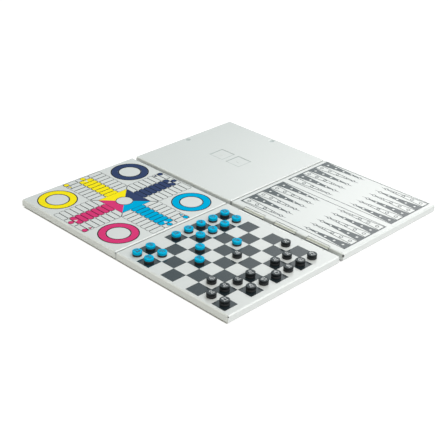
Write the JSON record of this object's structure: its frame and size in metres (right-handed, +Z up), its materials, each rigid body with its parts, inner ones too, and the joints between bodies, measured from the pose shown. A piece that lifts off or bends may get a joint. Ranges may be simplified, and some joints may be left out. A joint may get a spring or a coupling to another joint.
{
  "type": "folding board game set",
  "caption": "Silver folding game set of four hinged metal panels with printed chess, ludo and backgammon boards and small magnetic men.",
  "frame": {"origin": "Middle of the footprint on the table, where the spine gap and the seams cross, with the set laid open.", "axes": "+X runs from the chess panel across the spine to the backgammon panel, +Y from the chess panel over its seam to the ludo panel, +Z up from the table."},
  "size_m": [0.3302, 0.3254, 0.0149],
  "materials": {
    "silver_panel": "fine satin silver paint on folded steel sheet",
    "dark_link": "dark satin web between silver knuckles",
    "pin_steel": "bare drawn steel wire",
    "grey_print": "screen-printed slate grey ink",
    "cyan_print": "screen-printed cyan ink",
    "navy_print": "screen-printed navy ink",
    "yellow_print": "screen-printed yellow ink",
    "pink_print": "screen-printed pink ink",
    "blue_man": "blue cap with a printed sign over a dark magnet base",
    "black_man": "black cap with a printed sign over a dark magnet base"
  },
  "bodies": {
    "chess": {"chess_pan": "silver_panel", "chess_squares": "grey_print", "chess_spine_pin": "pin_steel", "ludo_seam_pin": "pin_steel"},
    "ludo": {"ludo_pan": "silver_panel", "ludo_track": "grey_print", "ludo_cyan": "cyan_print", "ludo_navy": "navy_print", "ludo_yellow": "yellow_print", "ludo_pink": "pink_print"},
    "spine_links": {"front_link": "dark_link", "middle_link": "dark_link", "rear_link": "dark_link"},
    "backgammon": {"backgammon_pan": "silver_panel", "backgammon_points": "grey_print", "backgammon_lines": "grey_print", "backgammon_spine_pin": "pin_steel", "cover_seam_pin": "pin_steel"},
    "cover": {"cover_pan": "silver_panel"},
    "blue_man_1": {"blue_man_1": "blue_man"},
    "blue_man_2": {"blue_man_2": "blue_man"},
    "blue_man_3": {"blue_man_3": "blue_man"},
    "blue_man_4": {"blue_man_4": "blue_man"},
    "blue_man_5": {"blue_man_5": "blue_man"},
    "blue_man_6": {"blue_man_6": "blue_man"},
    "blue_man_7": {"blue_man_7": "blue_man"},
    "blue_man_8": {"blue_man_8": "blue_man"},
    "blue_man_9": {"blue_man_9": "blue_man"},
    "blue_man_10": {"blue_man_10": "blue_man"},
    "blue_man_11": {"blue_man_11": "blue_man"},
    "blue_man_12": {"blue_man_12": "blue_man"},
    "blue_man_13": {"blue_man_13": "blue_man"},
    "blue_man_14": {"blue_man_14": "blue_man"},
    "blue_man_15": {"blue_man_15": "blue_man"},
    "blue_man_16": {"blue_man_16": "blue_man"},
    "black_man_1": {"black_man_1": "black_man"},
    "black_man_2": {"black_man_2": "black_man"},
    "black_man_3": {"black_man_3": "black_man"},
    "black_man_4": {"black_man_4": "black_man"},
    "black_man_5": {"black_man_5": "black_man"},
    "black_man_6": {"black_man_6": "black_man"},
    "black_man_7": {"black_man_7": "black_man"},
    "black_man_8": {"black_man_8": "black_man"},
    "black_man_9": {"black_man_9": "black_man"},
    "black_man_10": {"black_man_10": "black_man"},
    "black_man_11": {"black_man_11": "black_man"},
    "black_man_12": {"black_man_12": "black_man"},
    "black_man_13": {"black_man_13": "black_man"},
    "black_man_14": {"black_man_14": "black_man"},
    "black_man_15": {"black_man_15": "black_man"},
    "black_man_16": {"black_man_16": "black_man"}
  },
  "joints": [
    {"name": "ludo_fold", "type": "hinge", "parent": "chess", "child": "ludo", "pos_m": [-0.0841, 0, 0.0014], "axis": [-1, 0, 0], "range_deg": [0, 180]},
    {"name": "link_fold", "type": "hinge", "parent": "chess", "child": "spine_links", "pos_m": [-0.0046, -0.08165, 0.00805], "axis": [0, -1, 0], "range_deg": [0, 90]},
    {"name": "backgammon_fold", "type": "hinge", "parent": "spine_links", "child": "backgammon", "pos_m": [0.0046, -0.08165, 0.00805], "axis": [0, -1, 0], "range_deg": [0, 90]},
    {"name": "cover_fold", "type": "hinge", "parent": "backgammon", "child": "cover", "pos_m": [0.0841, 0, 0.0014], "axis": [-1, 0, 0], "range_deg": [0, 180]},
    {"name": "blue_man_1_lift", "type": "slide", "parent": "chess", "child": "blue_man_1", "axis": [0, 0, -1], "range_m": [-0.015, 0]},
    {"name": "blue_man_2_lift", "type": "slide", "parent": "chess", "child": "blue_man_2", "axis": [0, 0, -1], "range_m": [-0.015, 0]},
    {"name": "blue_man_3_lift", "type": "slide", "parent": "chess", "child": "blue_man_3", "axis": [0, 0, -1], "range_m": [-0.015, 0]},
    {"name": "blue_man_4_lift", "type": "slide", "parent": "chess", "child": "blue_man_4", "axis": [0, 0, -1], "range_m": [-0.015, 0]},
    {"name": "blue_man_5_lift", "type": "slide", "parent": "chess", "child": "blue_man_5", "axis": [0, 0, -1], "range_m": [-0.015, 0]},
    {"name": "blue_man_6_lift", "type": "slide", "parent": "chess", "child": "blue_man_6", "axis": [0, 0, -1], "range_m": [-0.015, 0]},
    {"name": "blue_man_7_lift", "type": "slide", "parent": "chess", "child": "blue_man_7", "axis": [0, 0, -1], "range_m": [-0.015, 0]},
    {"name": "blue_man_8_lift", "type": "slide", "parent": "chess", "child": "blue_man_8", "axis": [0, 0, -1], "range_m": [-0.015, 0]},
    {"name": "blue_man_9_lift", "type": "slide", "parent": "chess", "child": "blue_man_9", "axis": [0, 0, -1], "range_m": [-0.015, 0]},
    {"name": "blue_man_10_lift", "type": "slide", "parent": "chess", "child": "blue_man_10", "axis": [0, 0, -1], "range_m": [-0.015, 0]},
    {"name": "blue_man_11_lift", "type": "slide", "parent": "chess", "child": "blue_man_11", "axis": [0, 0, -1], "range_m": [-0.015, 0]},
    {"name": "blue_man_12_lift", "type": "slide", "parent": "chess", "child": "blue_man_12", "axis": [0, 0, -1], "range_m": [-0.015, 0]},
    {"name": "blue_man_13_lift", "type": "slide", "parent": "chess", "child": "blue_man_13", "axis": [0, 0, -1], "range_m": [-0.015, 0]},
    {"name": "blue_man_14_lift", "type": "slide", "parent": "chess", "child": "blue_man_14", "axis": [0, 0, -1], "range_m": [-0.015, 0]},
    {"name": "blue_man_15_lift", "type": "slide", "parent": "chess", "child": "blue_man_15", "axis": [0, 0, -1], "range_m": [-0.015, 0]},
    {"name": "blue_man_16_lift", "type": "slide", "parent": "chess", "child": "blue_man_16", "axis": [0, 0, -1], "range_m": [-0.015, 0]},
    {"name": "black_man_1_lift", "type": "slide", "parent": "chess", "child": "black_man_1", "axis": [0, 0, -1], "range_m": [-0.015, 0]},
    {"name": "black_man_2_lift", "type": "slide", "parent": "chess", "child": "black_man_2", "axis": [0, 0, -1], "range_m": [-0.015, 0]},
    {"name": "black_man_3_lift", "type": "slide", "parent": "chess", "child": "black_man_3", "axis": [0, 0, -1], "range_m": [-0.015, 0]},
    {"name": "black_man_4_lift", "type": "slide", "parent": "chess", "child": "black_man_4", "axis": [0, 0, -1], "range_m": [-0.015, 0]},
    {"name": "black_man_5_lift", "type": "slide", "parent": "chess", "child": "black_man_5", "axis": [0, 0, -1], "range_m": [-0.015, 0]},
    {"name": "black_man_6_lift", "type": "slide", "parent": "chess", "child": "black_man_6", "axis": [0, 0, -1], "range_m": [-0.015, 0]},
    {"name": "black_man_7_lift", "type": "slide", "parent": "chess", "child": "black_man_7", "axis": [0, 0, -1], "range_m": [-0.015, 0]},
    {"name": "black_man_8_lift", "type": "slide", "parent": "chess", "child": "black_man_8", "axis": [0, 0, -1], "range_m": [-0.015, 0]},
    {"name": "black_man_9_lift", "type": "slide", "parent": "chess", "child": "black_man_9", "axis": [0, 0, -1], "range_m": [-0.015, 0]},
    {"name": "black_man_10_lift", "type": "slide", "parent": "chess", "child": "black_man_10", "axis": [0, 0, -1], "range_m": [-0.015, 0]},
    {"name": "black_man_11_lift", "type": "slide", "parent": "chess", "child": "black_man_11", "axis": [0, 0, -1], "range_m": [-0.015, 0]},
    {"name": "black_man_12_lift", "type": "slide", "parent": "chess", "child": "black_man_12", "axis": [0, 0, -1], "range_m": [-0.015, 0]},
    {"name": "black_man_13_lift", "type": "slide", "parent": "chess", "child": "black_man_13", "axis": [0, 0, -1], "range_m": [-0.015, 0]},
    {"name": "black_man_14_lift", "type": "slide", "parent": "chess", "child": "black_man_14", "axis": [0, 0, -1], "range_m": [-0.015, 0]},
    {"name": "black_man_15_lift", "type": "slide", "parent": "chess", "child": "black_man_15", "axis": [0, 0, -1], "range_m": [-0.015, 0]},
    {"name": "black_man_16_lift", "type": "slide", "parent": "chess", "child": "black_man_16", "axis": [0, 0, -1], "range_m": [-0.015, 0]}
  ]
}
